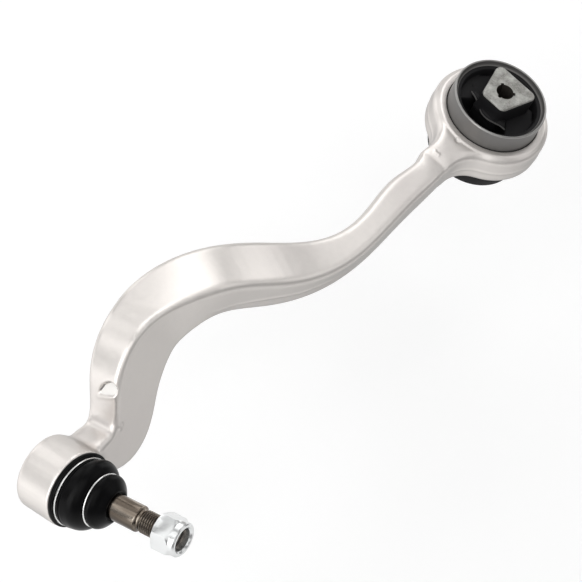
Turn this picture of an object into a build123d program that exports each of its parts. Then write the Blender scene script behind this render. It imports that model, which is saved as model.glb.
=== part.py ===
from build123d import *
import os
from math import cos, radians, sin

# Forged aluminium control arm with a fluid-filled bush at one end and a ball joint at the other.
# Millimetres. The origin is the centre of the bush's bore, +Z runs along the bore and +X runs
# towards the ball joint. The stud of the ball joint leans to +Y and upwards.

# ---------------------------------------------------------------- driving dimensions

# Bush: a rubber and metal cartridge pressed into the eye of the arm
eye_outer_radius = 41.8
eye_height = 25.0
bush_outer_radius = 33.0
bush_half_height = 28.5
sleeve_wall = 1.6
core_half_length = 35.5
core_bore_radius = 6.1
bore_notch_radius = 7.3
bore_notch_width = 2.4
core_wide_side = 36.0
core_narrow_side = 19.0
core_back_x = -16.5
core_front_x = 14.5
core_corner = 4.5
cage_wall = 1.8
lip_width = 1.4
lip_height = 1.2
window_height = 20.0
post_width = 44.0
lining_wall = 2.2
lining_setback = 2.0
leg_half_height = 20.0
pocket_floor = 15.5
pocket_radius = 24.0
pocket_shift = 5.0
chamber_width = 34.0
chamber_height = 28.0
stop_reach = 24.0
stop_width = 20.0
stop_height = 16.0

# Arm: forged section, eye end
shank_width = 22.0
shank_height = 24.5
forging_round = 5.0
foot_round = 3.5
eye_blend_radius = 25.0
shank_start_x = 66.0

# Ball joint
ball_centre = (400.0, -2.0, -25.0)
stud_azimuth = 97.0
stud_elevation = 24.0
crease_azimuth = 94.6
crease_elevation = 26.8
housing_azimuth = 90.2
housing_elevation = 25.2
ball_radius = 12.5
ball_clearance = 0.3
housing_radius = 24.0
housing_back_round = 3.0
housing_back = -14.5
housing_front = 12.2
boss_radius = 19.5
boss_front = 16.4
mouth_radius = 12.3
mouth_front_radius = 15.6
rim_width = 1.3
seat_radius = 18.0
plate_radius = 20.0
plate_back = -13.6
plate_front = -11.8
seat_back = -10.2
seat_front = 8.5
seat_gap = 0.3
seal_groove_inner = 18.3
seal_groove_outer = 19.5
seal_groove_depth = 0.9
spring_hole = 8.5
spring_radius = 16.5
spring_wall = 0.8

# Ball stud and nut; heights are distances along the stud from the ball's centre
ball_flat = -9.0
neck_radius = 7.0
neck_end = 15.0
boot_land_radius = 7.5
boot_land_start = 17.0
shank_radius = 8.0
shank_start = 39.4
shank_end = 57.5
undercut_radius = 6.1
thread_start = 60.2
thread_radius = 7.0
thread_end = 81.5
thread_clearance = 0.05
nut_start = 71.5
nut_hex_end = 82.0
nut_end = 87.3
nut_across_flats = 21.0
nut_collar_radius = 10.5
nut_mouth_radius = 8.2
nut_turn = 20.0

# Boot and its rings
boot_wall = 1.8
collar_radius = 23.5
bulge_radius = 21.8
crease_height = 30.5
crease_radius = 15.0
crease_gap = 0.2
boot_lip_radius = 7.55
boot_end = 39.3
base_ring_inner = 20.4
base_ring_back = 14.2
base_ring_front = 16.4
base_ring_wall = 1.4
mid_ring_radius = 15.95
mid_ring_wire = 0.7
neck_ring_inner = 9.6
neck_ring_outer = 11.0
neck_ring_back = 36.0
neck_ring_front = 37.2

# ---------------------------------------------------------------- frames and helpers


def joint_plane(azimuth, elevation):
    """Plane through the ball's centre, across the given direction."""
    turn, rise = radians(azimuth), radians(elevation)
    along = Vector(cos(rise) * cos(turn), cos(rise) * sin(turn), sin(rise))
    outboard = Vector(1, 0, 0) - along * along.X
    return Plane(origin=ball_centre, x_dir=outboard, z_dir=along)


def leaning_plane(lean):
    """The housing's plane at lean 0, the crease's at 1 and the stud's at 2."""
    share = lean % 1 if lean < 2 else 1
    start, end = housing_direction, crease_direction
    if lean >= 1:
        start, end = crease_direction, stud_direction
    azimuth, elevation = (a + share * (b - a) for a, b in zip(start, end))
    return joint_plane(azimuth, elevation)


housing_direction = (housing_azimuth, housing_elevation)
crease_direction = (crease_azimuth, crease_elevation)
stud_direction = (stud_azimuth, stud_elevation)
housing_plane = joint_plane(*housing_direction)
crease_plane = joint_plane(*crease_direction)
stud_plane = joint_plane(*stud_direction)


def turned(points):
    """Solid of revolution about Z from a closed outline of (radius, height) points."""
    return revolve(Plane.XZ * make_face(Polyline(*points, close=True)), Axis.Z)


def tube(outer, inner, low, high):
    """Plain ring about Z."""
    return turned([(inner, low), (outer, low), (outer, high), (inner, high)])


def torus_ring(centre_radius, section_radius, height):
    """Round wire ring about Z."""
    section = Pos(centre_radius, height) * Circle(section_radius)
    return revolve(Plane.XZ * section, Axis.Z)


def leaning_solid(circles):
    """Solid through circles about the ball joint, each given as radius, height and lean."""
    rings = [leaning_plane(lean).offset(height) * Circle(radius) for radius, height, lean in circles]
    return loft(rings, ruled=True)


# ---------------------------------------------------------------- arm forging

# Stations of the arm between the eye and the point where it turns into the ball housing:
# x, y, z of the centre, heading and climb of the arm, roll, width, height
arm_stations = [
    (90, 1.8, 0.0, 4, 0, 0, 21.4, 24.5),
    (125, 4.8, 0.0, 3, 0, 0, 20.8, 24.5),
    (168, 5.5, 0.0, -8, 0, -2, 23.0, 24.0),
    (202, -5.5, 1.5, -21, 9, 0, 31.0, 26.0),
    (235, -20.5, 10.5, -22, 13, 2, 34.5, 28.0),
    (270, -32.5, 17.0, -3, 4, 6.5, 36.0, 30.0),
]

# Stations of the foot, drawn across the stud: outboard and down from the ball's centre, turn from
# outboard towards down, height, thickness, and how far the front face is in front of the ball
foot_stations = [
    (-96.1, -46.3, 21, 38.0, 31.0, 10.8),
    (-82.3, -44.5, 31, 46.2, 26.5, 10.8),
    (-71.1, -36.7, 38, 49.5, 24.5, 10.8),
    (-63.3, -25.1, 43, 48.4, 23.0, 10.8),
    (-57.8, -10.6, 42, 45.4, 22.0, 10.8),
    (-51.3, 0.3, 33, 42.2, 21.5, 10.8),
    (-37.6, 4.4, 12, 34.0, 21.6, 11.4),
    (-16.0, 1.5, 0, 25.0, 22.0, 12.0),
]


def arm_plane(x, y, z, heading, climb, roll):
    """Section plane of the arm: local X is across its width and local Y along its height."""
    turn, rise, tip = radians(heading), radians(climb), radians(roll)
    along = Vector(cos(rise) * cos(turn), cos(rise) * sin(turn), sin(rise))
    across = Vector(-sin(turn), cos(turn), 0)
    up = along.cross(across)
    return Plane(origin=(x, y, z), x_dir=across * cos(tip) + up * sin(tip), z_dir=along)


def foot_plane(out, down, turn, middle):
    """Section plane of the foot: local X is along the stud."""
    centre = stud_plane.from_local_coords((out, down, middle))
    along = stud_plane.x_dir * cos(radians(turn)) + stud_plane.y_dir * sin(radians(turn))
    return Plane(origin=centre, x_dir=stud_plane.z_dir, z_dir=along)


def arm_shank():
    """The curved bar, lofted through rounded rectangles."""
    first = arm_plane(shank_start_x, 0, 0, 0, 0, 0)
    sections = [first * RectangleRounded(shank_width, shank_height, forging_round)]
    for *place, width, height in arm_stations:
        sections.append(arm_plane(*place) * RectangleRounded(width, height, forging_round))
    for *place, height, thickness, front in foot_stations:
        section = RectangleRounded(thickness, height, foot_round)
        sections.append(foot_plane(*place, front - thickness / 2) * section)
    return loft(sections)


def arm_eye():
    """The ring round the bush and the short neck that grows out of it."""
    neck = Pos(shank_start_x / 2, 0) * Rectangle(shank_start_x, shank_width)
    outline = Circle(eye_outer_radius) + neck
    corners = [v for v in outline.vertices() if 0 < v.X < eye_outer_radius]
    outline = fillet(corners, eye_blend_radius)
    blank = extrude(Pos(0, 0, -eye_height / 2) * outline, eye_height)
    rims = blank.edges().group_by(Axis.Z)
    return fillet(rims[0] + rims[-1], forging_round)


def ball_housing():
    """The cup for the ball, with its front boss for the boot."""
    cup = tube(housing_radius, 0, housing_back, housing_front)
    rims = cup.edges().group_by(Axis.Z)
    cup = fillet(rims[0], housing_back_round)
    cup = fillet(cup.edges().group_by(Axis.Z)[-1], 0.8)
    return cup + tube(boss_radius, 0, housing_front - 1, boss_front)


def housing_cavity():
    """Space for the closing plate, the seat and the swinging stud."""
    return turned(
        [
            (0, housing_back - 1),
            (plate_radius - rim_width, housing_back - 1),
            (plate_radius - rim_width, plate_back),
            (plate_radius, plate_back),
            (plate_radius, plate_front),
            (seat_radius, plate_front),
            (seat_radius, seat_front),
            (mouth_radius, seat_front),
            (mouth_front_radius, boss_front),
            (mouth_front_radius, boss_front + 1),
            (0, boss_front + 1),
        ]
    )


def arm_forging():
    body = arm_eye() + arm_shank() + housing_plane * ball_housing()
    body -= Cylinder(bush_outer_radius, 2 * eye_height)
    body -= housing_plane * housing_cavity()
    return body


# ---------------------------------------------------------------- bush

cage_outer = bush_outer_radius - sleeve_wall
cage_inner = cage_outer - cage_wall
cage_half_height = bush_half_height - lip_height
lip_inner = cage_outer - lip_width
lining_inner = cage_inner - lining_wall


def bush_outer_sleeve():
    """Thin can with both ends rolled in over the cartridge."""
    sleeve = turned(
        [
            (cage_outer, -cage_half_height),
            (lip_inner, -cage_half_height),
            (lip_inner, -bush_half_height),
            (bush_outer_radius, -bush_half_height),
            (bush_outer_radius, bush_half_height),
            (lip_inner, bush_half_height),
            (lip_inner, cage_half_height),
            (cage_outer, cage_half_height),
        ]
    )
    rims = sleeve.edges().filter_by(GeomType.CIRCLE)
    outer = [e for e in rims if abs(e.radius - bush_outer_radius) < 0.01]
    return fillet(outer, 1.5)


def window_band():
    """Block through the cage that leaves out its two posts."""
    return Box(2 * bush_outer_radius, post_width, window_height)


def bush_window_cage():
    """Two rings joined by two posts, which the rubber is moulded round."""
    return tube(cage_outer, cage_inner, -cage_half_height, cage_half_height) - window_band()


def bush_channel_ring(side):
    """Half of the plastic ring whose groove carries the fluid between the two chambers."""
    ring = tube(cage_outer, cage_inner, -window_height / 2, window_height / 2)
    groove_width = window_height / 4
    groove = tube(cage_outer + 1, cage_outer - 1, -groove_width / 2, groove_width / 2)
    half = Pos(side * bush_outer_radius, 0, 0) * Box(2 * bush_outer_radius, 80, 80)
    return ((ring - groove) & window_band()) & half


def core_outline():
    """Rounded trapezoid, wide side away from the arm."""
    half_wide, half_narrow = core_wide_side / 2, core_narrow_side / 2
    corners = [
        (core_back_x, -half_wide),
        (core_front_x, -half_narrow),
        (core_front_x, half_narrow),
        (core_back_x, half_wide),
    ]
    outline = make_face(Polyline(*corners, close=True))
    return fillet(outline.vertices(), core_corner)


def core_blank():
    return extrude(Pos(0, 0, -core_half_length) * core_outline(), 2 * core_half_length)


def bush_core():
    """Cast aluminium core with a keyed bore."""
    core = core_blank()
    ends = core.edges().group_by(Axis.Z)
    core = fillet(ends[0] + ends[-1], 1.2)
    core -= Cylinder(core_bore_radius, 4 * core_half_length)
    notch = Box(bore_notch_radius, bore_notch_width, 4 * core_half_length)
    for angle in (0, 125, 235):
        core -= Rot(0, 0, angle) * Pos(bore_notch_radius / 2, 0, 0) * notch
    return core


def bush_travel_stops():
    """Plastic collar clipped round the core, with a bumper at the front and at the rear."""
    reach = Circle(stop_reach) & Rectangle(2 * stop_reach, stop_width)
    collar = extrude(Pos(0, 0, -stop_height / 2) * reach, stop_height)
    return collar - core_blank()


def end_pocket(side):
    """Crescent between the rubber round the core and the lining, open at the end of the bush."""
    crescent = Circle(lining_inner) - Pos(-side * pocket_shift, 0) * Circle(pocket_radius)
    crescent &= Pos(side * lining_inner, 0) * Rectangle(45, 60)
    return extrude(Pos(0, 0, pocket_floor) * crescent, 20)


def bush_rubber():
    """Two legs to the core, a lining inside the cage and a membrane over each fluid chamber."""
    window_top = window_height / 2
    upper = tube(cage_inner, lining_inner, window_top, cage_half_height - lining_setback)
    upper += tube(cage_inner, 0, window_top, leg_half_height)
    upper -= end_pocket(1)
    upper -= end_pocket(-1)
    body = upper + mirror(upper, Plane.XY) + tube(cage_inner, 0, -window_top, window_top)
    chambers = Cylinder(cage_inner + 1, chamber_height) & Box(80, chamber_width, 80)
    return body - core_blank() - chambers


# ---------------------------------------------------------------- ball joint


def hollowed(points):
    """Plastic half shell turned from its outline, hollowed to the ball."""
    return turned(points) - Sphere(ball_radius + ball_clearance)


def ball_seat_front():
    mouth_back = seat_front - 2.1
    return hollowed(
        [
            (0, seat_gap),
            (seat_radius, seat_gap),
            (seat_radius, seat_front),
            (mouth_radius, seat_front),
            (mouth_radius - 1.9, mouth_back),
            (0, mouth_back),
        ]
    )


def ball_seat_rear():
    return hollowed(
        [(0, seat_back), (seat_radius, seat_back), (seat_radius, -seat_gap), (0, -seat_gap)]
    )


def seat_preload_spring():
    """Conical disc spring that keeps the rear shell against the ball."""
    return turned(
        [
            (spring_hole, seat_back - spring_wall),
            (spring_radius, plate_front),
            (spring_radius, plate_front + spring_wall),
            (spring_hole, seat_back),
        ]
    )


def seal_section(depth_above):
    """Ring in the plate's groove, reaching above the plate by depth_above."""
    groove_floor = plate_front - seal_groove_depth
    return tube(seal_groove_outer, seal_groove_inner, groove_floor, plate_front + depth_above)


def closure_plate():
    """Round plate under the rolled edge of the housing, with a groove for the sealing ring."""
    return tube(plate_radius, 0, plate_back, plate_front) - seal_section(1)


def closure_seal_ring():
    return seal_section(0)


def ball_stud():
    """Ball, neck, plain shank and threaded end in one piece."""
    spindle = turned(
        [
            (0, 0),
            (neck_radius, 0),
            (neck_radius, neck_end),
            (boot_land_radius, boot_land_start),
            (boot_land_radius, shank_start),
            (shank_radius, shank_start),
            (shank_radius, shank_end - 0.8),
            (shank_radius - 0.8, shank_end),
            (undercut_radius, shank_end + 0.6),
            (undercut_radius, thread_start - 0.9),
            (thread_radius, thread_start),
            (thread_radius, thread_end - 1.2),
            (thread_radius - 1.2, thread_end),
            (0, thread_end),
        ]
    )
    beyond_flat = tube(2 * ball_radius, 0, ball_flat - ball_radius, ball_flat)
    return (Sphere(ball_radius) - beyond_flat) + spindle


def nut_envelope():
    """Turned outline of the nut: chamfered ends and a round collar in front of the hexagon."""
    corner = nut_across_flats / 2 / cos(radians(30))
    return turned(
        [
            (0, nut_start),
            (corner - 1.4, nut_start),
            (corner + 0.1, nut_start + 0.9),
            (corner + 0.1, nut_hex_end - 0.6),
            (nut_collar_radius, nut_hex_end + 1.2),
            (nut_collar_radius, nut_end - 0.9),
            (nut_collar_radius - 0.9, nut_end),
            (0, nut_end),
        ]
    )


def nut_bore():
    """Threaded hole as a plain cylinder with a countersink at each end."""
    bore = thread_radius + thread_clearance
    return turned(
        [
            (0, nut_start - 1),
            (bore + 0.8, nut_start - 1),
            (bore + 0.8, nut_start),
            (bore, nut_start + 0.8),
            (bore, nut_end - 1.2),
            (nut_mouth_radius, nut_end),
            (nut_mouth_radius, nut_end + 1),
            (0, nut_end + 1),
        ]
    )


def lock_nut():
    """All-metal locking nut."""
    hexagon = RegularPolygon(nut_across_flats / 2, 6, major_radius=False)
    prism = extrude(Pos(0, 0, nut_start) * hexagon, nut_end - nut_start)
    return (Rot(0, 0, nut_turn) * prism & nut_envelope()) - nut_bore()


# ---------------------------------------------------------------- boot

def boot_lower():
    """Collar over the housing's boss and the large convolution, which leans towards the stud."""
    collar_end = 17.6
    collar = turned(
        [
            (boss_radius, housing_front),
            (collar_radius, housing_front),
            (collar_radius, base_ring_back),
            (base_ring_inner, base_ring_back),
            (base_ring_inner, base_ring_front),
            (bulge_radius - 0.6, collar_end),
            (bulge_radius - 0.6 - boot_wall, collar_end),
            (boss_radius + 0.1, boss_front + 0.1),
            (boss_radius, boss_front),
        ]
    )
    crease_back = crease_height - crease_gap
    outside = leaning_solid(
        [
            (bulge_radius - 0.6, collar_end, 0),
            (bulge_radius, 20.5, 0.6),
            (bulge_radius, 23.0, 0.9),
            (bulge_radius - 1.8, 26.5, 1),
            (crease_radius + 2.4, crease_back - 1.1, 1),
            (crease_radius, crease_back - 0.8, 1),
            (crease_radius, crease_back, 1),
        ]
    )
    inside = leaning_solid(
        [
            (bulge_radius - 0.6 - boot_wall, collar_end, 0),
            (bulge_radius - boot_wall, 20.5, 0.6),
            (bulge_radius - boot_wall, 22.4, 0.9),
            (bulge_radius - 3.6, 25.5, 1),
            (crease_radius + 0.4, 28.0, 1),
            (crease_radius - boot_wall, crease_back, 1),
        ]
    )
    return housing_plane * collar + (outside - inside)


def boot_upper():
    """Small convolution that closes on the stud."""
    crease_front = crease_height + crease_gap
    nose_start = neck_ring_back
    nose = turned(
        [
            (boot_lip_radius, boot_end),
            (boot_lip_radius, nose_start),
            (neck_ring_inner, nose_start),
            (neck_ring_inner, neck_ring_front),
            (neck_ring_outer, neck_ring_front),
            (neck_ring_outer, nose_start),
            (crease_radius - 0.9, nose_start),
            (neck_ring_outer + 1.6, nose_start + 1.5),
            (neck_ring_outer, boot_end - 0.5),
            (neck_ring_inner, boot_end),
        ]
    )
    outside = leaning_solid(
        [
            (crease_radius, crease_front, 1),
            (crease_radius, crease_front + 0.7, 1),
            (crease_radius + 1.6, 32.3, 1.2),
            (crease_radius + 1.3, 34.0, 1.5),
            (crease_radius - 0.9, nose_start, 2),
        ]
    )
    inside = leaning_solid(
        [
            (crease_radius - boot_wall, crease_front, 1),
            (crease_radius - 0.2, 32.5, 1.2),
            (crease_radius - 0.6, 33.8, 1.5),
            (crease_radius - 2.6, nose_start, 2),
        ]
    )
    return stud_plane * nose + (outside - inside)


def boot_base_ring():
    """Flat spring ring round the collar of the boot."""
    outer = base_ring_inner + base_ring_wall
    ring = tube(outer, base_ring_inner, base_ring_back + 0.1, base_ring_front - 0.1)
    return fillet(ring.edges(), 0.4)


def boot_mid_ring():
    """Wire ring in the crease between the two convolutions."""
    return torus_ring(mid_ring_radius, mid_ring_wire, crease_height)


def boot_neck_ring():
    """Ring set into the lip, which keeps it tight on the stud."""
    return tube(neck_ring_outer, neck_ring_inner, neck_ring_back, neck_ring_front)


# ---------------------------------------------------------------- output

parts = {
    "arm_forging": arm_forging(),
    "bush_outer_sleeve": bush_outer_sleeve(),
    "bush_window_cage": bush_window_cage(),
    "bush_channel_ring_front": bush_channel_ring(1),
    "bush_channel_ring_rear": bush_channel_ring(-1),
    "bush_rubber": bush_rubber(),
    "bush_travel_stops": bush_travel_stops(),
    "bush_core": bush_core(),
    "ball_seat_front": housing_plane * ball_seat_front(),
    "ball_seat_rear": housing_plane * ball_seat_rear(),
    "seat_preload_spring": housing_plane * seat_preload_spring(),
    "closure_plate": housing_plane * closure_plate(),
    "closure_seal_ring": housing_plane * closure_seal_ring(),
    "ball_stud": stud_plane * ball_stud(),
    "lock_nut": stud_plane * lock_nut(),
    "boot_lower": boot_lower(),
    "boot_upper": boot_upper(),
    "boot_base_ring": housing_plane * boot_base_ring(),
    "boot_mid_ring": crease_plane * boot_mid_ring(),
    "boot_neck_ring": stud_plane * boot_neck_ring(),
}

os.makedirs("parts", exist_ok=True)
for name, shape in parts.items():
    export_step(shape, f"parts/{name}.step")
    print(name, "valid", shape.is_valid, "volume", round(shape.volume))
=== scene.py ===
import math

import bmesh
import bpy
import numpy as np
from mathutils import Matrix, Vector


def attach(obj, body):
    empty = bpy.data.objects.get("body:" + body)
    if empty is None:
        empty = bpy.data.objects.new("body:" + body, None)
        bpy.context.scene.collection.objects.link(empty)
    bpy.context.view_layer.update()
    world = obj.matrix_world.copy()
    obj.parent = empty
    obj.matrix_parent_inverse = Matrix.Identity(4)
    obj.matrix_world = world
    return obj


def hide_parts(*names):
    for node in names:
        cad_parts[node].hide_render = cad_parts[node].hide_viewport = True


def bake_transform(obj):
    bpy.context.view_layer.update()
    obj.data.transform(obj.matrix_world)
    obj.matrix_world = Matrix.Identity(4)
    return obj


# Looks of a forged control arm. Shapes are drawn in millimetres and stored in metres.

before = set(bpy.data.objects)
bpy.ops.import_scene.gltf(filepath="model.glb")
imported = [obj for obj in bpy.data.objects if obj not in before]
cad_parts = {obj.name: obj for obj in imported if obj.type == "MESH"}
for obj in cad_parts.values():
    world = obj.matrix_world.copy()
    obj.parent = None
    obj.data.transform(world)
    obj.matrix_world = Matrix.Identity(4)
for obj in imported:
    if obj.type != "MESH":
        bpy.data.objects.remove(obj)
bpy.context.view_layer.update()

MM = 0.001
BALL = np.array([400.0, -2.0, -25.0])
HOUSING, CREASE, STUD = (90.2, 25.2), (94.6, 26.8), (97.0, 24.0)

# ------------------------------------------------------------------ frames


def unit(v):
    return v / np.linalg.norm(v)


def joint_axes(azimuth, elevation):
    """Outboard, down and along directions of a plane through the ball's centre."""
    a, e = math.radians(azimuth), math.radians(elevation)
    along = np.array([math.cos(e) * math.cos(a), math.cos(e) * math.sin(a), math.sin(e)])
    outboard = unit(np.array([1.0, 0, 0]) - along * along[0])
    return outboard, np.cross(along, outboard), along


def leaning_axes(lean):
    """The housing's axes at lean 0, the crease's at 1 and the stud's at 2."""
    start, end, share = (HOUSING, CREASE, lean) if lean < 1 else (CREASE, STUD, lean - 1)
    return joint_axes(*(a + share * (b - a) for a, b in zip(start, end)))


# ------------------------------------------------------------------ mesh helpers


def mesh_object(name, points, faces, smooth=True):
    """Mesh from points in millimetres, with its normals made consistent."""
    mesh = bpy.data.meshes.new(name)
    mesh.from_pydata((np.asarray(points, float) * MM).tolist(), [], faces)
    b = bmesh.new()
    b.from_mesh(mesh)
    bmesh.ops.recalc_face_normals(b, faces=b.faces)
    b.to_mesh(mesh)
    b.free()
    obj = bpy.data.objects.new(name, mesh)
    bpy.context.scene.collection.objects.link(obj)
    if smooth:
        mesh.shade_smooth()
    return obj


def rounded(outline, steps=6, sharp=()):
    """Smooth curve through the outline's points; points whose number is in sharp stay corners."""
    p = np.asarray(outline, float)
    out = []
    for i in range(len(p) - 1):
        before = p[i - 1] if i > 0 and i not in sharp else 2 * p[i] - p[i + 1]
        after = p[i + 2] if i + 2 < len(p) and i + 1 not in sharp else 2 * p[i + 1] - p[i]
        for k in range(steps):
            t = k / steps
            out.append(
                0.5
                * (
                    2 * p[i]
                    + (p[i + 1] - before) * t
                    + (2 * before - 5 * p[i] + 4 * p[i + 1] - after) * t * t
                    + (3 * p[i] - before - 3 * p[i + 1] + after) * t**3
                )
            )
    out.append(p[-1])
    return np.array(out)


def grid_faces(rows, columns, closed):
    """Faces of a grid of rows that run round an axis; closed joins the last row to the first."""
    faces = []
    for i in range(rows if closed else rows - 1):
        for j in range(columns):
            a, b = i * columns + j, i * columns + (j + 1) % columns
            c, d = ((i + 1) % rows) * columns + (j + 1) % columns, ((i + 1) % rows) * columns + j
            faces.append((a, b, c, d))
    return faces


def turned(name, outline, lean=None, segments=128, closed=True, ripple=None):
    """Surface of revolution from (radius, height) or (radius, height, lean) points.

    Without a lean it turns about Z through the origin. ripple changes the radius at (angle, height).
    """
    angles = np.linspace(0, 2 * math.pi, segments, endpoint=False)
    points = []
    for row in outline:
        radius, height = row[0], row[1]
        radii = np.full(segments, radius) if ripple is None else ripple(angles, radius, height)
        if lean is None:
            x, y, z, centre = np.eye(3)[0], np.eye(3)[1], np.eye(3)[2], np.zeros(3)
        else:
            (x, y, z), centre = leaning_axes(row[2] if len(row) > 2 else lean), BALL
        ring = centre + height * z
        points.extend(ring + r * (math.cos(t) * x + math.sin(t) * y) for r, t in zip(radii, angles))
    faces = grid_faces(len(outline), segments, closed)
    if not closed:
        faces.append(tuple(range(segments)))
        last = (len(outline) - 1) * segments
        faces.append(tuple(range(last, last + segments)))
    return mesh_object(name, points, faces)


def copy_of(node, name):
    obj = bpy.data.objects.new(name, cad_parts[node].data.copy())
    bpy.context.scene.collection.objects.link(obj)
    obj.data.materials.clear()
    for attribute in ("custom_normal", "sharp_edge", "sharp_face"):
        if attribute in obj.data.attributes:
            obj.data.attributes.remove(obj.data.attributes[attribute])
    return obj


def weld(obj, distance=0.00002):
    b = bmesh.new()
    b.from_mesh(obj.data)
    bmesh.ops.remove_doubles(b, verts=b.verts, dist=distance)
    b.to_mesh(obj.data)
    b.free()


def apply_modifiers(obj):
    evaluated = obj.evaluated_get(bpy.context.evaluated_depsgraph_get())
    mesh = bpy.data.meshes.new_from_object(evaluated)
    obj.modifiers.clear()
    obj.data = mesh


def remeshed(obj, voxel, smoothing):
    modifier = obj.modifiers.new("remesh", "REMESH")
    modifier.mode = "VOXEL"
    modifier.voxel_size = voxel * MM
    modifier.use_smooth_shade = True
    smooth = obj.modifiers.new("smooth", "SMOOTH")
    smooth.factor = 0.5
    smooth.iterations = smoothing
    bpy.context.view_layer.update()
    apply_modifiers(obj)


def coordinates(obj):
    co = np.empty(len(obj.data.vertices) * 3, np.float32)
    obj.data.vertices.foreach_get("co", co)
    return co.reshape(-1, 3).astype(float) / MM


def normals_of(obj):
    n = np.empty(len(obj.data.vertices) * 3, np.float32)
    obj.data.vertices.foreach_get("normal", n)
    return n.reshape(-1, 3).astype(float)


def set_coordinates(obj, points):
    obj.data.vertices.foreach_set("co", (points * MM).astype(np.float32).ravel())
    obj.data.update()


def ramp(x, low, high):
    t = np.clip((x - low) / (high - low), 0, 1)
    return t * t * (3 - 2 * t)


def distance_to_path(points, path):
    """Distance of each point from a polyline."""
    best = np.full(len(points), 1e9)
    path = np.asarray(path, float)
    for a, b in zip(path[:-1], path[1:]):
        ab = b - a
        t = np.clip(((points - a) @ ab) / (ab @ ab), 0, 1)
        best = np.minimum(best, np.linalg.norm(points - a - t[:, None] * ab, axis=1))
    return best


# ------------------------------------------------------------------ materials




def tone(color, share=1.0):
    return (*[min(1, c * share) for c in color], 1)


def add_node(tree, kind, inputs, **settings):
    """New shader node. An input given as another node's output is linked to it."""
    made = tree.nodes.new(kind)
    for key, value in settings.items():
        setattr(made, key, value)
    for key, value in inputs.items():
        if isinstance(value, bpy.types.NodeSocket):
            tree.links.new(value, made.inputs[key])
        else:
            made.inputs[key].default_value = value
    return made


def noise(tree, where, scale, detail):
    inputs = {"Vector": where, "Scale": scale, "Detail": detail}
    return add_node(tree, "ShaderNodeTexNoise", inputs).outputs["Fac"]


def ranged(tree, value, low, high, to_low=0.0, to_high=1.0):
    """The value moved from low..high to to_low..to_high."""
    inputs = {"Value": value, "From Min": low, "From Max": high, "To Min": to_low, "To Max": to_high}
    return add_node(tree, "ShaderNodeMapRange", inputs).outputs["Result"]


def mixed(tree, factor, a, b):
    """Colour a where the factor is 0 and colour b where it is 1."""
    inputs = {"Factor": factor, "A": a, "B": b}
    return add_node(tree, "ShaderNodeMix", inputs, data_type="RGBA").outputs["Result"]


def material(
    name, color, metallic, roughness, grain, bump=None, spots=None, brushed=None, shade=None,
    **inputs
):
    """Principled material with a procedural colour grain and surface bump.

    grain is (scale, darker share, roughness swing), bump is (scale, strength, distance in mm),
    spots is (scale, colour, amount) for a second, larger pattern. brushed is (turn about X, turn
    about Z, stretch) and draws the grain out along a turned Y axis. shade is (direction, low, high,
    colour share) and darkens the faces that point away from the direction.
    """
    made = bpy.data.materials.new(name)
    made.use_nodes = True
    tree = made.node_tree
    shader = tree.nodes["Principled BSDF"]
    shader.inputs["Metallic"].default_value = metallic
    for key, value in inputs.items():
        shader.inputs[key.replace("_", " ")].default_value = value
    place = tree.nodes.new("ShaderNodeTexCoord")
    where = place.outputs["Object"]
    if brushed:
        turn = (math.radians(brushed[0]), 0, math.radians(brushed[1]))
        drawn = {"Vector": where, "Rotation": turn, "Scale": (1, brushed[2], 1)}
        where = add_node(tree, "ShaderNodeMapping", drawn, vector_type="TEXTURE").outputs["Vector"]
    scale, darker, swing = grain
    fine = noise(tree, where, scale, 5)
    result = mixed(tree, fine, tone(color, 1 - darker), tone(color, 1 + darker * 0.4))
    if spots:
        large = ranged(tree, noise(tree, where, spots[0], 3), 0.45, 0.75, 0, spots[2])
        result = mixed(tree, large, result, tone(spots[1]))
    if shade:
        sides = {0: place.outputs["Normal"], 1: shade[0]}
        facing = add_node(tree, "ShaderNodeVectorMath", sides, operation="DOT_PRODUCT")
        lit = ranged(tree, facing.outputs["Value"], shade[1], shade[2])
        result = mixed(tree, lit, tone(color, shade[3]), result)
    tree.links.new(result, shader.inputs["Base Color"])
    rough = ranged(tree, fine, 0, 1, max(0.02, roughness - swing), min(1, roughness + swing))
    tree.links.new(rough, shader.inputs["Roughness"])
    if bump:
        scale, strength, depth = bump
        pits = noise(tree, place.outputs["Object"], scale, 4)
        relief = {"Height": pits, "Strength": strength, "Distance": depth * MM}
        relief = add_node(tree, "ShaderNodeBump", relief)
        tree.links.new(relief.outputs["Normal"], shader.inputs["Normal"])
    return made


forging_skin = material(
    "forging_skin", (0.84, 0.80, 0.765), 0.72, 0.34, grain=(260, 0.06, 0.05), bump=(1400, 0.25, 0.12),
    spots=(16, (0.72, 0.67, 0.655), 0.35), shade=((0.45, -0.05, 0.89), -0.5, 0.75, 0.36),
    Specular_Tint=(0.6, 0.6, 0.6, 1),
)
sleeve_skin = material(
    "sleeve_skin", (0.17, 0.165, 0.16), 0.55, 0.45, grain=(180, 0.12, 0.06), bump=(900, 0.15, 0.08)
)
core_skin = material(
    "core_skin", (0.37, 0.365, 0.34), 0.65, 0.38, grain=(1000, 0.75, 0.14), bump=(1100, 1.0, 0.8),
    spots=(150, (0.66, 0.66, 0.63), 0.7),
)
bush_black = material(
    "bush_black", (0.009, 0.0087, 0.0095), 0.0, 0.6, grain=(120, 0.3, 0.08), bump=(500, 0.3, 0.12),
    Specular_IOR_Level=0.2,
)
boot_black = material(
    "boot_black", (0.002, 0.002, 0.0023), 0.0, 0.30, grain=(90, 0.3, 0.05), bump=(700, 0.12, 0.06),
    Specular_IOR_Level=0.09,
)
# painted light for the scoop in the forging: a whiter copy of the skin is a painted highlight on its floor, a
# darker copy is painted shade on its wall
scoop_floor_painted_highlight = material("scoop_floor_painted_highlight", (0.92, 0.90, 0.87), 0.2, 0.5, grain=(260, 0.05, 0.05))
scoop_shade = material("scoop_shade", (0.30, 0.285, 0.275), 0.6, 0.45, grain=(260, 0.1, 0.05))
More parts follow.
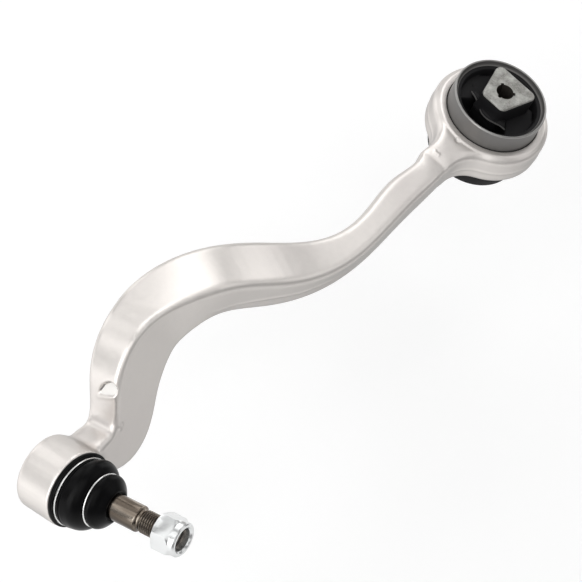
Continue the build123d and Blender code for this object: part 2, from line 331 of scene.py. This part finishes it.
# lighter grey for the web's edge bead: a painted highlight on the black rubber
web_edge_painted_highlight = material("web_edge_painted_highlight", (0.06, 0.058, 0.056), 0.0, 0.45, grain=(200, 0.3, 0.05))
# black for the painted shadow in the gap between the collar and the sleeve
gap_painted_shadow = material("gap_painted_shadow", (0.012, 0.011, 0.010), 0.0, 0.7, grain=(200, 0.3, 0.05))
ring_bright = material(
    "ring_bright", (0.80, 0.80, 0.79), 1.0, 0.26, grain=(300, 0.08, 0.05), bump=(900, 0.1, 0.03)
)
stud_bronze = material(
    "stud_bronze", (0.22, 0.18, 0.145), 1.0, 0.22, grain=(420, 0.6, 0.08), bump=(1200, 0.25, 0.04),
    spots=(190, (0.62, 0.55, 0.47), 0.75), brushed=(24, 7, 14),
    shade=((-0.4, -0.2, 0.89), -0.4, 0.6, 0.3),
)
nut_bright = material(
    "nut_bright", (0.80, 0.81, 0.81), 0.92, 0.20, grain=(90, 0.08, 0.05), bump=(420, 0.18, 0.06),
    shade=((0.2, -0.1, 0.97), -0.5, 0.4, 0.5),
)
# painted shade for recesses: the wall of the core's bore and the roots of the stud's thread
recess_painted_shade = material(
    "recess_painted_shade", (0.06, 0.052, 0.045), 0.5, 0.5, grain=(300, 0.4, 0.08),
    bump=(900, 0.3, 0.08),
)
# painted highlight: a lighter and glossier copy of the can's metal for its top rolled rim
rim_painted_highlight = material(
    "rim_painted_highlight", (0.34, 0.335, 0.325), 0.9, 0.3, grain=(250, 0.12, 0.06),
    bump=(800, 0.15, 0.05),
)
plain_steel = material(
    "plain_steel", (0.5, 0.5, 0.5), 1.0, 0.35, grain=(200, 0.15, 0.05),
    bump=(800, 0.15, 0.05),
)
dark_plastic = material(
    "dark_plastic", (0.03, 0.03, 0.032), 0.0, 0.5, grain=(200, 0.2, 0.06), bump=(700, 0.2, 0.05)
)
seat_plastic = material(
    "seat_plastic", (0.80, 0.78, 0.72), 0.0, 0.45, grain=(200, 0.08, 0.05), bump=(700, 0.1, 0.04)
)


def dress(obj, skin):
    obj.data.materials.clear()
    obj.data.materials.append(skin)
    return obj


# ------------------------------------------------------------------ arm forging

SCOOP_CENTRE, SCOOP_HALF_WIDTH, SCOOP_LENGTH, SCOOP_DEPTH = 3.8, 7.2, 9.0, 3.4
RIDGE = [
    (278.0, -17.0, 18.0), (269.3, -13.4, 12.3), (253.0, -8.0, 10.0), (237.4, -2.8, 7.1),
    (222.0, 3.5, 3.5), (209.0, 8.5, 0.6), (185.0, 14.5, -0.6), (160.0, 17.5, -1.0),
]
STROKES = [
    [(59.2, -4.9, 12.5), (60.9, -3.9, 12.5)],
    [(59.6, -2.9, 12.5), (61.6, -2.4, 12.5)],
    [(59.4, -1.2, 12.5), (61.4, -0.6, 12.5)],
    [(354.2, -2.6, -10.5), (354.9, -1.2, -13.0), (355.8, -0.6, -14.2), (357.0, -0.4, -13.4),
     (357.6, -1.2, -11.0)],
]


def smooth_band(points, neighbours, weight, rounds, regrow=0.0):
    """Laplacian smoothing by each vertex's weight; regrow undoes part of the shrinking each round."""
    first, second, count = neighbours
    for _ in range(rounds):
        for step in (0.5, -regrow) if regrow else (0.5,):
            total = np.column_stack(
                [
                    np.bincount(first, points[second, k], len(points))
                    + np.bincount(second, points[first, k], len(points))
                    for k in range(3)
                ]
            )
            points = points + weight[:, None] * step * (total / count[:, None] - points)
    return points


def neighbours_of(obj):
    edges = np.empty(len(obj.data.edges) * 2, np.int32)
    obj.data.edges.foreach_get("vertices", edges)
    first, second = edges[0::2], edges[1::2]
    count = np.bincount(first, minlength=len(obj.data.vertices)) + np.bincount(
        second, minlength=len(obj.data.vertices)
    )
    return first, second, np.maximum(count, 1).astype(float)


def arm():
    """The forging with its saddle, its parting ridges, its scoop and a soft blasted skin."""
    obj = copy_of("arm_forging", "arm_skin")
    weld(obj)
    remeshed(obj, 0.8, 5)
    points = coordinates(obj)
    out_axis, down_axis, along = joint_axes(*STUD)
    local = np.column_stack([(points - BALL) @ a for a in (out_axis, down_axis, along)])
    links = neighbours_of(obj)

    # the saddle between the foot and the housing is one wide concave blend
    saddle = np.exp(-((local[:, 0] + 22) ** 2 / 9**2 + (local[:, 1] + 13) ** 2 / 8**2))
    heel = np.exp(-((local[:, 0] + 21) ** 2 / 8**2 + (local[:, 1] - 13) ** 2 / 8**2))
    both = np.clip(1.3 * saddle + heel, 0, 1) * (1 - ramp(local[:, 2], 11.0, 14.0))
    points = smooth_band(points, links, both, 90)
    radius = np.hypot(points[:, 0], points[:, 1])
    eye_root = np.exp(-((points[:, 0] - 64) ** 2) / 14**2) * ramp(radius, 40, 45)
    points = smooth_band(points, links, eye_root, 70, regrow=0.49)
    set_coordinates(obj, points)
    # the eye's flat face runs on into the shank without a step
    crown = np.exp(-(((points[:, 0] - 66) / 13) ** 2)) * ramp(np.abs(normals_of(obj)[:, 2]), 0.85, 0.97)
    points[:, 2] = smooth_band(points, links, crown, 120)[:, 2]
    set_coordinates(obj, points)
    normals = normals_of(obj)
    local = np.column_stack([(points - BALL) @ a for a in (out_axis, down_axis, along)])

    # half-round scoop in the foot's outer face: steep round wall, floor that rises to a straight lip
    face_normal = unit(np.array([0.97, 0.0, 0.25]))
    lip_line = -31.8 - 0.33 * local[:, 2]
    across, above_lip = local[:, 2] - SCOOP_CENTRE, lip_line - local[:, 1]
    from_middle = np.hypot(across / SCOOP_HALF_WIDTH, above_lip / SCOOP_LENGTH)
    depth = np.clip(above_lip / SCOOP_LENGTH, 0, 1) ** 0.8 * (1 - ramp(from_middle, 0.80, 1.04))
    depth *= ramp(normals @ face_normal, 0.72, 0.9) * (local[:, 0] > -56)
    points = points - face_normal * (SCOOP_DEPTH * depth)[:, None]
    lip = np.exp(-(((above_lip + 1.2) / 1.3) ** 2)) * (1 - ramp(np.abs(across), 7.0, 9.0))
    lip *= ramp(normals @ face_normal, 0.8, 0.93) * (local[:, 0] > -56)
    points = points + face_normal * (0.35 * lip)[:, None]

    # parting ridges along the side of the bar and round the eye
    near = distance_to_path(points, RIDGE)
    fade = ramp(normals[:, 1], 0.3, 0.7) * ramp(points[:, 0], 150, 190)
    fade *= 1 - ramp(points[:, 0], 262, 276)
    points = points + normals * (0.45 * fade * np.exp(-((near / 1.1) ** 2)))[:, None]
    radius = np.hypot(points[:, 0], points[:, 1])
    belt = np.exp(-(((points[:, 2] + 1.5) / 1.1) ** 2)) * (radius > 39)
    belt *= 1 - ramp(points[:, 0], 48, 60)
    points = points + normals * (0.4 * belt * ramp(points[:, 0], -20, -5))[:, None]

    # raised collar round the bush, on both faces
    for side in (1, -1):
        top = (side * points[:, 2] > 10.5) & (side * normals[:, 2] > 0.55)
        points[top, 2] += side * (0.55 * (1 - ramp(radius, 37.6, 39.2)))[top]

    # small cast marks: a round dimple and a few plain strokes on the eye, a U beside the housing
    dot = np.hypot(points[:, 0] - 40.3, points[:, 1] + 0.4)
    points[:, 2] -= 0.8 * (1 - ramp(dot, 0.9, 2.1)) * (points[:, 2] > 11)
    strokes = np.minimum.reduce([distance_to_path(points, stroke) for stroke in STROKES])
    points = points + normals * (0.75 * np.exp(-((strokes / 0.6) ** 2)))[:, None]
    set_coordinates(obj, points)
    obj.data.shade_smooth()
    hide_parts("arm_forging")
    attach(obj, "arm")
    dress(obj, forging_skin)
    # painted shade on the scoop's steep wall and a painted highlight on its floor
    obj.data.materials.append(scoop_shade)
    obj.data.materials.append(scoop_floor_painted_highlight)
    wall = (depth > 0.06) & (from_middle > 0.78)
    painted_highlight_floor = (depth > 0.04) & (from_middle <= 0.86)
    corners = np.empty(len(obj.data.loops), np.int32)
    obj.data.loops.foreach_get("vertex_index", corners)
    for face in obj.data.polygons:
        around = corners[face.loop_start : face.loop_start + face.loop_total]
        face.material_index = 1 if wall[around].all() else 2 * int(painted_highlight_floor[around].all())

    # painted shadow: a thin black ring on each face stands in for the shade in the gap between the collar and
    # the sleeve
    for side, name in ((1, "collar_gap_shadow_top"), (-1, "collar_gap_shadow_bottom")):
        line = [(32.95, 11.5), (33.8, 11.5), (33.8, 12.8), (33.7, 12.95), (32.95, 13.0)]
        gap = turned(name, [(r, side * z) for r, z in line], segments=160)
        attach(gap, "arm")
        dress(gap, gap_painted_shadow)


# ------------------------------------------------------------------ bush


def sleeve():
    """Can with a narrow rolled rim at both ends and a short throat inside it."""
    half = rounded(
        [(33.0, 0), (33.0, 14), (33.0, 27.3), (32.85, 28.0), (32.5, 28.4), (32.0, 28.45), (31.6, 28.25),
         (31.35, 27.8), (31.0, 26.8), (30.4, 25.8), (29.8, 25.4), (29.8, 0)],
        5, sharp=(1, 2, 10),
    )
    lower = half[::-1] * np.array([1, -1])
    obj = turned("sleeve_skin", np.vstack([half[:-1], lower[:-1]]), segments=160)
    dress(obj, sleeve_skin)
    obj.data.materials.append(bush_black)
    obj.data.materials.append(rim_painted_highlight)
    for face in obj.data.polygons:
        x, y, z = face.center
        # the can's lower end takes the black rubber skin: partly the rubber seen there, partly painted shade
        # under the eye
        if z < -0.0165:
            face.material_index = 1
        # the top rim's outer edge takes the painted highlight
        elif z > 0.0274 and math.hypot(x, y) > 0.0316:
            face.material_index = 2
    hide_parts("bush_outer_sleeve")
    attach(obj, "arm")


def cage():
    """The moulded-in steel cage, whose rings end below the throat of the sleeve."""
    obj = copy_of("bush_window_cage", "cage_skin")
    points = coordinates(obj)
    points[:, 2] = np.clip(points[:, 2], -22.5, 22.5)
    set_coordinates(obj, points)
    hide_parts("bush_window_cage")
    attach(obj, "arm")
    dress(obj, plain_steel)


def rubber_height(x, y):
    """Height of the moulded rubber's end face: two slanted legs, the voids beside them and a lining."""
    front = (x - 7.6) * 0.588 + (13.4 - np.abs(y)) * 0.809
    rear = (-x - 16.4) * 0.582 + (np.abs(y) - 20.2) * 0.813
    height = 20.0 - 11.5 * ramp(front, -0.4, 1.1) - 9.0 * ramp(rear, -0.4, 1.1)
    height = np.minimum(height, 20.0 - 9.0 * ramp(-x, 17.0, 18.6))
    height -= 0.6 * (1 - ramp(np.hypot(x - 0.4, y + 20.7), 0.5, 1.3))
    lining = ramp(np.hypot(x, y), 26.3, 27.5)
    return height * (1 - lining) + (24.6 + 0.5 * ramp(np.hypot(x, y), 27.5, 30.0)) * lining


def rubber():
    """Both end faces of the rubber as one closed moulding."""
    steps = np.arange(-62, 63) * 0.5
    grid_x, grid_y = np.meshgrid(steps, steps, indexing="ij")
    inside = np.hypot(grid_x, grid_y) <= 31.0
    number = np.where(inside, np.cumsum(inside.ravel()).reshape(inside.shape) - 1, -1)
    x, y = grid_x[inside], grid_y[inside]
    height = rubber_height(x, y)
    count = len(x)
    points = np.vstack([np.column_stack([x, y, height]), np.column_stack([x, y, -height])])
    corners = [number[:-1, :-1], number[1:, :-1], number[1:, 1:], number[:-1, 1:]]
    corners = np.stack(corners, -1).reshape(-1, 4)
    upper = corners[(corners >= 0).all(1)]
    lower = upper[:, ::-1] + count
    faces = [tuple(map(int, f)) for f in np.vstack([upper, lower])]
    used = dict.fromkeys((f[k], f[(k + 1) % 4]) for f in upper.tolist() for k in range(4))
    faces += [(b, a, a + count, b + count) for a, b in used if (b, a) not in used]
    obj = mesh_object("rubber_skin", points, faces)
    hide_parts("bush_rubber")
    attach(obj, "arm")
    return dress(obj, bush_black)


def core_outline(per_corner=10):
    """Rounded trapezoid of the core, as points and outward normals."""
    corners = np.array([(-16.5, -18.0), (14.5, -9.5), (14.5, 9.5), (-16.5, 18.0)])
    radius = 4.5
    points, normals = [], []
    for i in range(4):
        before, here, after = corners[i - 1], corners[i], corners[(i + 1) % 4]
        a, b = unit(before - here), unit(after - here)
        half = math.acos(float(a @ b)) / 2
        centre = here + unit(a + b) * radius / math.sin(half)
        first = np.array([a[1], -a[0]])
        first = first if first @ (here - centre) > 0 else -first
        last = np.array([b[1], -b[0]])
        last = last if last @ (here - centre) > 0 else -last
        turn = math.atan2(first[0] * last[1] - first[1] * last[0], float(first @ last))
        for k in range(per_corner + 1):
            t = turn * k / per_corner
            n = first * math.cos(t) + np.array([-first[1], first[0]]) * math.sin(t)
            points.append(centre + radius * n)
            normals.append(n)
    points, normals = np.array(points), np.array(normals)
    out_points, out_normals = [], []
    for i in range(len(points)):
        j = (i + 1) % len(points)
        pieces = max(1, int(np.linalg.norm(points[j] - points[i]) / 0.9))
        for k in range(pieces):
            t = k / pieces
            out_points.append(points[i] * (1 - t) + points[j] * t)
            out_normals.append(unit(normals[i] * (1 - t) + normals[j] * t))
    return np.array(out_points), np.array(out_normals)


def core_jacket():
    """Rubber skin bonded to the core's sides, with a skirt over the front void."""
    points, normals = core_outline()
    half = [
        (-0.25, 34.3), (0.25, 34.15), (0.32, 33.6), (0.35, 30.0), (0.4, 27.6), (0.7, 26.2), (1.3, 24.4),
        (2.0, 22.6), (2.5, 21.6), (2.55, 21.0), (2.2, 20.4), (1.9, 19.0), (1.8, 14.0), (1.8, 6.0),
        (-0.25, 6.0),
    ]
    half = rounded(half, 3, sharp=(0, 13))
    skirt = ramp(normals[:, 0], 0.2, 0.75) * (0.75 + 0.25 * np.sin(points[:, 1] * 0.35))
    rows = []
    for offset, height in half:
        grown = np.minimum(offset, 0.35) + max(0.0, offset - 0.35) * skirt
        ring = points + normals * np.asarray(grown)[:, None]
        rows.append(np.column_stack([ring, np.full(len(ring), height)]))
    for side, name in ((1, "core_jacket_top"), (-1, "core_jacket_bottom")):
        flip = np.array([1, 1, side])
        obj = mesh_object(name, np.vstack(rows) * flip, grid_faces(len(rows), len(points), True))
        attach(obj, "mounting_core")
        dress(obj, bush_black)


BEAD_RADIUS, BEAD_CORNERS = 0.5, 8
WEB_EDGE = [
    (8.0, -18.2, 22.6), (10.0, -13.5, 23), (12.3, -9.0, 23), (15.1, -4.9, 23), (17.2, -1.3, 23),
    (17.6, 3.6, 23), (16.1, 8.8, 23), (14.6, 13.1, 23), (14.0, 17.0, 22.6),
]
WEB_ROOT = [
    (5.0, -14.6, 24), (7.6, -11.6, 25.4), (11.4, -10.3, 26), (14.2, -7.6, 26), (14.6, -1.3, 26),
    (14.6, 3.6, 26), (14.2, 7.6, 26), (11.4, 10.5, 25.4), (8.6, 12.6, 24),
]


def web():
    """Rubber web in front of the core, from one leg to the other, with a thin edge bead in a lighter grey, a
    painted highlight along the edge.
    """
    edge, root = rounded(WEB_EDGE, 5), rounded(WEB_ROOT, 5)
    up = np.array([0, 0, 1.0])
    rows = [
        np.vstack([r - 4.5 * up, r, (r + e) / 2 - 0.5 * up, e, e - 0.9 * up, (r + e) / 2 - 3.2 * up])
        for r, e in zip(root, edge)
    ]
    around = len(rows[0])
    ends = [tuple(range(around)), tuple(range((len(rows) - 1) * around, len(rows) * around))]
    beads = []
    for k, middle in enumerate(edge):
        ahead = unit(edge[min(k + 1, len(edge) - 1)] - edge[max(k - 1, 0)])
        side = unit(np.cross(ahead, up))
        over = np.cross(side, ahead)
        turns = np.linspace(0, 2 * math.pi, BEAD_CORNERS, endpoint=False)
        beads += [middle + BEAD_RADIUS * (math.cos(t) * side + math.sin(t) * over) for t in turns]
    last = (len(edge) - 1) * BEAD_CORNERS
    bead_ends = [tuple(range(BEAD_CORNERS)), tuple(range(last, last + BEAD_CORNERS))]
    bead_faces = grid_faces(len(edge), BEAD_CORNERS, False) + bead_ends
    sheet_faces = grid_faces(len(rows), around, False) + ends
    for side, suffix in ((1, "top"), (-1, "bottom")):
        flip = np.array([1, 1, side])
        sheet = mesh_object(f"web_{suffix}", np.vstack(rows) * flip, sheet_faces)
        bead = mesh_object(f"web_bead_{suffix}", np.array(beads) * flip, bead_faces)
        for obj, skin in ((sheet, bush_black), (bead, web_edge_painted_highlight)):
            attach(obj, "mounting_core")
            dress(obj, skin)


def core():
    obj = copy_of("bush_core", "core_skin")
    weld(obj)
    obj.data.set_sharp_from_angle(angle=math.radians(35))
    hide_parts("bush_core")
    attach(obj, "mounting_core")
    dress(obj, core_skin)
    obj.data.materials.append(recess_painted_shade)
    # the wall of the core's bore gets painted shade
    for face in obj.data.polygons:
        x, y, _ = face.center
        face.material_index = int(math.hypot(x, y) < 0.0078 and abs(face.normal.z) < 0.5)


# ------------------------------------------------------------------ ball joint


def boot_lower():
    outside = rounded(
        [(23.3, 12.2, 0), (23.5, 12.7, 0), (23.5, 13.7, 0), (23.2, 14.15, 0), (22.2, 14.2, 0),
         (20.5, 14.3, 0), (20.1, 14.4, 0), (20.1, 16.3, 0), (20.9, 16.5, 0), (21.35, 16.9, 0),
         (21.4, 17.4, 0.05), (20.9, 17.8, 0.1), (20.9, 18.1, 0.15), (21.4, 18.4, 0.2), (21.75, 19.1, 0.3),
         (21.8, 20.5, 0.6), (21.7, 23.0, 0.9), (20.9, 25.2, 1), (19.4, 27.2, 1), (17.4, 28.7, 1),
         (15.6, 29.5, 1), (15.1, 30.0, 1)],
        5, sharp=(5, 6, 7, 12),
    )
    inside = [(14.85, 30.15, 1), (16.5, 28.5, 1), (18.4, 26.2, 1), (20.2, 22.8, 0.9), (20.2, 20.5, 0.6),
              (19.4, 17.6, 0), (19.5, 16.0, 0), (19.5, 12.2, 0)]
    obj = turned("boot_lower_skin", [*outside, *map(np.array, inside)], lean=0)
    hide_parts("boot_lower")
    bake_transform(obj)
    return dress(obj, boot_black)


def boot_upper():
    outside = rounded(
        [(14.8, 30.85, 1), (15.2, 30.8, 1), (15.9, 31.3, 1.1), (16.6, 32.2, 1.2), (16.5, 33.4, 1.4),
         (15.6, 34.9, 1.7), (14.1, 36.2, 2), (12.4, 37.6, 2), (11.0, 38.7, 2), (10.2, 39.2, 2), (9.4, 39.3, 2),
         (8.9, 38.8, 2), (8.6, 38.2, 2), (8.0, 38.1, 2), (7.6, 38.6, 2)],
        5, sharp=(0, 1),
    )
    inside = [(7.62, 37.4, 2), (8.4, 36.4, 2), (10.0, 36.2, 2), (12.6, 36.0, 2), (14.7, 34.1, 1.5),
              (15.4, 32.6, 1.2)]
    obj = turned("boot_upper_skin", [*outside, *map(np.array, inside)], lean=0)
    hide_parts("boot_upper")
    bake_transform(obj)
    return dress(obj, boot_black)


def band(name, node, body, outline, lean, skin):
    obj = turned(name, rounded([*outline, outline[0]], 4)[:-1], lean=lean, segments=160)
    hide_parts(node)
    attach(obj, body)
    return dress(obj, skin)


THREAD_PITCH = 1.5


def thread_profile(angles, height, depth):
    """Depth below the crest of a right-hand thread at each angle and height."""
    turn = (height / THREAD_PITCH - angles / (2 * math.pi)) % 1.0
    return depth * np.clip(np.abs(turn - 0.5) * 2.6 - 0.15, 0, 1)


def stud():
    """Ball, shank, undercut and a real helical thread."""
    sphere = [
        (12.5 * math.sin(t), -12.5 * math.cos(t))
        for t in np.linspace(math.acos(9 / 12.5), math.pi - math.asin(7 / 12.5), 24)
    ]
    smooth = [
        (7.0, 11.5), (7.0, 15.0), (7.5, 17.0), (7.5, 39.3), (7.62, 39.4), (7.95, 39.6), (8.0, 40.0),
        (8.0, 45.0), (8.0, 51.0), (8.0, 56.4), (7.9, 56.9), (7.3, 57.45), (6.9, 57.55), (6.35, 57.8),
        (6.15, 58.1), (6.1, 58.7), (6.15, 59.2), (6.3, 59.5),
    ]
    fine = np.arange(59.6, 81.3, THREAD_PITCH / 9)

    def crest(height):
        return np.interp(height, [59.4, 60.4, 80.2, 81.4], [6.3, 7.0, 7.0, 5.9])

    rows = [*sphere, *smooth, *[(crest(h), h) for h in fine], (5.7, 81.45), (4.5, 81.5)]

    def ripple(angles, radius, height):
        if not 59.6 <= height <= 81.3:
            return np.full(len(angles), radius)
        return np.maximum(radius - thread_profile(angles, height, 0.85), min(radius, 6.05))

    obj = turned("stud_skin", rows, lean=2, segments=96, closed=False, ripple=ripple)
    obj.data.set_sharp_from_angle(angle=math.radians(50))
    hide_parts("ball_stud")
    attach(obj, "stud")
    dress(obj, stud_bronze)
    obj.data.materials.append(recess_painted_shade)
    axis = joint_axes(*STUD)[2]
    # the roots of the thread get painted shade
    for face in obj.data.polygons:
        centre = np.array(face.center) / MM - BALL
        height = centre @ axis
        if 59.8 < height < 81.2 and np.linalg.norm(centre - height * axis) < 6.5:
            face.material_index = 1


def nut():
    """Hexagon and collar with soft edges."""
    obj = copy_of("lock_nut", "nut_skin")
    weld(obj)
    edge = obj.modifiers.new("edge", "BEVEL")
    edge.width = 0.22 * MM
    edge.segments = 2
    edge.angle_limit = math.radians(28)
    apply_modifiers(obj)
    obj.data.shade_smooth()
    obj.data.set_sharp_from_angle(angle=math.radians(50))
    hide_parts("lock_nut")
    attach(obj, "nut")
    dress(obj, nut_bright)


arm()
sleeve()
cage()
rubber()
core()
core_jacket()
web()
boot_lower()
boot_upper()
band(
    "base_ring_skin", "boot_base_ring", "arm",
    [(20.3, 14.4), (21.5, 14.4), (21.75, 14.7), (21.75, 15.7), (21.5, 16.0), (20.3, 16.0)],
    0, ring_bright,
)
band(
    "mid_ring_skin", "boot_mid_ring", "boot_crease",
    [(15.95 + 0.68 * math.cos(t), 30.5 + 0.68 * math.sin(t)) for t in np.arange(8) * math.pi / 4],
    1, ring_bright,
)
stud()
nut()

for node, skin, slot in (
    ("bush_window_cage", plain_steel, "cage_steel"),
    ("bush_channel_ring_front", dark_plastic, "channel_plastic"),
    ("bush_channel_ring_rear", dark_plastic, "channel_plastic"),
    ("bush_travel_stops", dark_plastic, "channel_plastic"),
    ("ball_seat_front", seat_plastic, "seat_plastic"),
    ("ball_seat_rear", seat_plastic, "seat_plastic"),
    ("seat_preload_spring", plain_steel, "cage_steel"),
    ("closure_plate", plain_steel, "plate_steel"),
    ("closure_seal_ring", bush_black, "seal_rubber"),
    ("boot_neck_ring", ring_bright, "ring_steel"),
    ("arm_forging", forging_skin, "forged_aluminium"),
    ("bush_outer_sleeve", sleeve_skin, "sleeve_metal"),
    ("bush_rubber", bush_black, "bush_rubber"),
    ("bush_core", core_skin, "cast_aluminium"),
    ("boot_lower", boot_black, "boot_rubber"),
    ("boot_upper", boot_black, "boot_rubber"),
    ("boot_base_ring", ring_bright, "ring_steel"),
    ("boot_mid_ring", ring_bright, "ring_steel"),
    ("ball_stud", stud_bronze, "stud_steel"),
    ("lock_nut", nut_bright, "nut_zinc"),
):
    dress(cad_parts[node], skin)

# ------------------------------------------------------------------ stage, light and camera

FLOOR_Z = -0.2

floor_skin = bpy.data.materials.new("floor_white")
floor_skin.use_nodes = True
floor_inputs = floor_skin.node_tree.nodes["Principled BSDF"].inputs
floor_inputs["Base Color"].default_value = (0.94, 0.94, 0.94, 1)
floor_inputs["Roughness"].default_value = 0.9
floor_inputs["Emission Color"].default_value = (1, 1, 1, 1)
floor_inputs["Emission Strength"].default_value = 0.14
bpy.ops.mesh.primitive_plane_add(size=12, location=(0.2, 0, FLOOR_Z))
floor = bpy.context.object
floor.name = "floor"
floor.data.materials.append(floor_skin)

world = bpy.data.worlds.new("studio")
bpy.context.scene.world = world
world.use_nodes = True
world.node_tree.nodes["Background"].inputs["Color"].default_value = (1, 1, 1, 1)
world.node_tree.nodes["Background"].inputs["Strength"].default_value = 0.28

CENTRE = Vector((0.2, 0.0, 0.0))
LIGHT_SIZE, LIGHT_DISTANCE, LIGHT_POWER = 0.9, 1.6, 25


def soft_box(number, azimuth, elevation, share):
    """Square soft light that faces the object's centre; its share is of a full even light."""
    light = bpy.data.lights.new(f"soft_box_{number}", "AREA")
    light.shape = "SQUARE"
    light.size = LIGHT_SIZE
    light.energy = LIGHT_POWER * share
    obj = bpy.data.objects.new(light.name, light)
    a, e = math.radians(azimuth), math.radians(elevation)
    direction = Vector((math.cos(e) * math.cos(a), math.cos(e) * math.sin(a), math.sin(e)))
    obj.location = CENTRE + direction * LIGHT_DISTANCE
    obj.rotation_mode = "QUATERNION"
    obj.rotation_quaternion = direction.to_track_quat("Z", "Y")
    bpy.context.scene.collection.objects.link(obj)


for number, light in enumerate(
    [
        (0, 64, 0.08), (60, 64, 0.09), (180, 64, 0.06), (240, 64, 0.09),
        (0, 38, 0.20), (45, 38, 0.07), (135, 38, 0.06),
        (225, 38, 0.15), (270, 38, 0.05), (315, 38, 0.10),
        (0, 12, 0.23), (180, 12, 0.14), (225, 12, 0.04), (270, 12, 0.11), (315, 12, 0.03),
    ]
):
    soft_box(number, *light)

CAMERA_PLACE = Vector((0.8255, 0.2141, 0.9153))
CAMERA_BACK, CAMERA_RIGHT = Vector((0.5468, 0.1876, 0.816)), Vector((-0.6455, 0.7151, 0.268))

camera = bpy.data.cameras.new("camera")
camera.lens = 111.3402
camera.sensor_width = 36
camera.clip_start, camera.clip_end = 0.05, 20
viewer = bpy.data.objects.new("camera", camera)
back = CAMERA_BACK.normalized()
right = (CAMERA_RIGHT - back * CAMERA_RIGHT.dot(back)).normalized()
turn = Matrix((right, back.cross(right), back)).transposed()
viewer.matrix_world = Matrix.Translation(CAMERA_PLACE) @ turn.to_4x4()
bpy.context.scene.collection.objects.link(viewer)
bpy.context.scene.camera = viewer
bpy.context.scene.view_settings.view_transform = "Standard"
